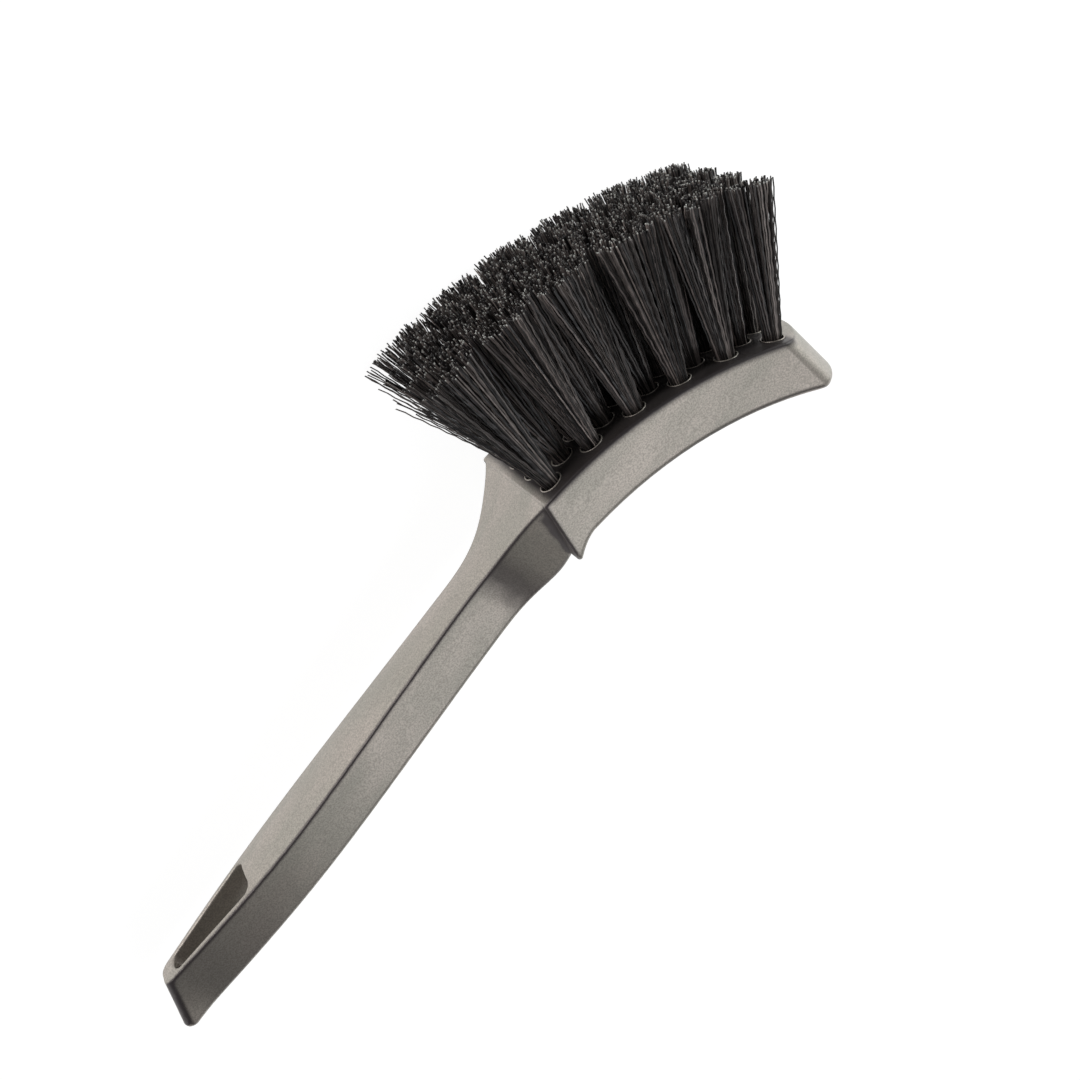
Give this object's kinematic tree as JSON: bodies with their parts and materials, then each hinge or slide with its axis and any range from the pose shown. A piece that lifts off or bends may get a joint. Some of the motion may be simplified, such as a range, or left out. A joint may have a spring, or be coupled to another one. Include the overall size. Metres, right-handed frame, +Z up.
{
  "type": "wheel brush",
  "caption": "Curved-head wheel brush with a one-piece moulded handle, staggered tufts of crimped filament held by flat anchor wires, and a hanging slot at the heel.",
  "frame": {"origin": "middle of the bounding box's bottom face, on the surface that the brush lies on", "axes": "+X from the handle's heel to the head's tip, +Y the way the bristles point, +Z up from the surface; the brush lies on its side"},
  "size_m": [0.2964, 0.1046, 0.055],
  "materials": {
    "grey_moulding": "warm light grey polypropylene, fine satin mould texture",
    "bristle_filament": "near-black crimped polypropylene filament, slightly glossy, cut ends",
    "anchor_wire": "plain flat steel wire"
  },
  "bodies": {
    "root": {"anchor_wires_row_1": "anchor_wire", "anchor_wires_row_2": "anchor_wire", "anchor_wires_row_3": "anchor_wire", "anchor_wires_row_4": "anchor_wire", "anchor_wires_row_5": "anchor_wire", "anchor_wires_row_6": "anchor_wire", "anchor_wires_row_7": "anchor_wire", "bristle_tuft_1_1": "bristle_filament", "bristle_tuft_1_2": "bristle_filament", "bristle_tuft_1_3": "bristle_filament", "bristle_tuft_1_4": "bristle_filament", "bristle_tuft_1_5": "bristle_filament", "bristle_tuft_1_6": "bristle_filament", "bristle_tuft_2_1": "bristle_filament", "bristle_tuft_2_2": "bristle_filament", "bristle_tuft_2_3": "bristle_filament", "bristle_tuft_2_4": "bristle_filament", "bristle_tuft_2_5": "bristle_filament", "bristle_tuft_3_1": "bristle_filament", "bristle_tuft_3_2": "bristle_filament", "bristle_tuft_3_3": "bristle_filament", "bristle_tuft_3_4": "bristle_filament", "bristle_tuft_3_5": "bristle_filament", "bristle_tuft_3_6": "bristle_filament", "bristle_tuft_4_1": "bristle_filament", "bristle_tuft_4_2": "bristle_filament", "bristle_tuft_4_3": "bristle_filament", "bristle_tuft_4_4": "bristle_filament", "bristle_tuft_4_5": "bristle_filament", "bristle_tuft_5_1": "bristle_filament", "bristle_tuft_5_2": "bristle_filament", "bristle_tuft_5_3": "bristle_filament", "bristle_tuft_5_4": "bristle_filament", "bristle_tuft_5_5": "bristle_filament", "bristle_tuft_5_6": "bristle_filament", "bristle_tuft_6_1": "bristle_filament", "bristle_tuft_6_2": "bristle_filament", "bristle_tuft_6_3": "bristle_filament", "bristle_tuft_6_4": "bristle_filament", "bristle_tuft_6_5": "bristle_filament", "bristle_tuft_7_1": "bristle_filament", "bristle_tuft_7_2": "bristle_filament", "bristle_tuft_7_3": "bristle_filament", "bristle_tuft_7_4": "bristle_filament", "bristle_tuft_7_5": "bristle_filament", "bristle_tuft_7_6": "bristle_filament", "moulded_handle_and_head": "grey_moulding"}
  },
  "joints": []
}
